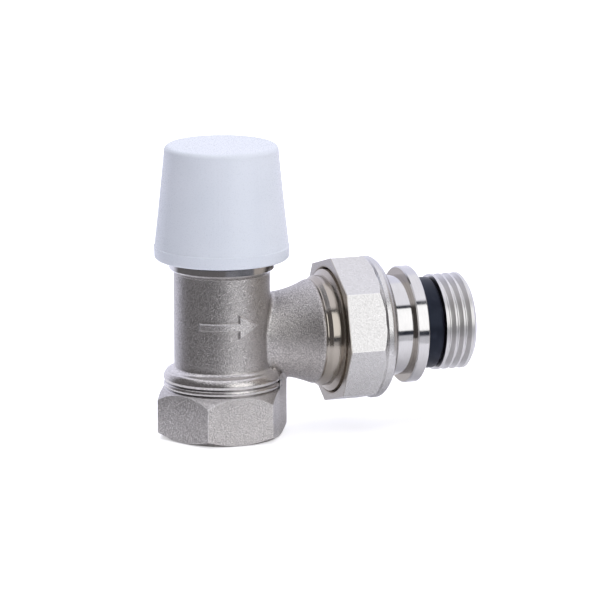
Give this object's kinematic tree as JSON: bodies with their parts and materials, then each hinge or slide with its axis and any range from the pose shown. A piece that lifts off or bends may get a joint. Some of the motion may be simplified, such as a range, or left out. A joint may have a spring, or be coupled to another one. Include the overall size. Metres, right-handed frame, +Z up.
{
  "type": "lockshield valve",
  "caption": "Angle radiator lockshield valve: threaded inlet foot, capped adjusting spindle, and a union nut with a sealed, threaded tailpiece to the radiator.",
  "frame": {"origin": "centre of the inlet mouth, on the foot's bottom face", "axes": "+Z up the column to the cap, +X along the outlet to the radiator"},
  "size_m": [0.0697, 0.0322, 0.0636],
  "materials": {
    "nickel_forged": "satin nickel plate over a sand-blasted brass forging",
    "nickel_polished": "bright nickel plate over turned brass",
    "nickel_nut": "satin nickel plate over forged and machined brass",
    "turned_brass": "bare turned brass",
    "spring_steel": "drawn spring steel",
    "black_rubber": "smooth moulded elastomer",
    "white_ptfe": "waxy low-friction plastic",
    "white_abs": "satin moulded ABS"
  },
  "bodies": {
    "body": {"valve_body": "nickel_forged", "bonnet": "nickel_polished", "bonnet_gasket": "white_ptfe", "gland_nut": "turned_brass", "gland_washer": "white_ptfe", "stem_seal_lower": "black_rubber", "stem_seal_upper": "black_rubber"},
    "plug": {"plug": "turned_brass", "plug_clip": "spring_steel", "plug_seal": "black_rubber", "plug_washer": "turned_brass", "plug_screw": "turned_brass"},
    "spindle": {"spindle": "turned_brass"},
    "cap": {"protective_cap": "white_abs"},
    "tail": {"tailpiece": "nickel_polished", "union_snap_ring": "spring_steel", "tail_seat_seal": "black_rubber", "tail_thread_seal": "black_rubber"},
    "union_nut": {"union_nut": "nickel_nut"}
  },
  "joints": [
    {"name": "plug_lift", "type": "slide", "parent": "body", "child": "plug", "axis": [0, 0, 1], "range_m": [0, 0.0045]},
    {"name": "spindle_turn", "type": "hinge", "parent": "plug", "child": "spindle", "pos_m": [0, 0, 0.03], "axis": [0, 0, 1], "range_deg": [0, 1620]},
    {"name": "cap_lift", "type": "slide", "parent": "body", "child": "cap", "axis": [0, 0, 1], "range_m": [0, 0.028]},
    {"name": "tail_withdraw", "type": "slide", "parent": "body", "child": "tail", "axis": [1, 0, 0], "range_m": [0, 0.00544]},
    {"name": "union_nut_turn", "type": "hinge", "parent": "tail", "child": "union_nut", "pos_m": [0.03, 0, 0.02127], "axis": [1, 0, 0], "range_deg": [0, 1080]}
  ],
  "couplings": [
    {"joint": "spindle_turn", "follows": "plug_lift", "rad_per_m": 6283.2},
    {"joint": "union_nut_turn", "follows": "tail_withdraw", "rad_per_m": 3463.1}
  ]
}
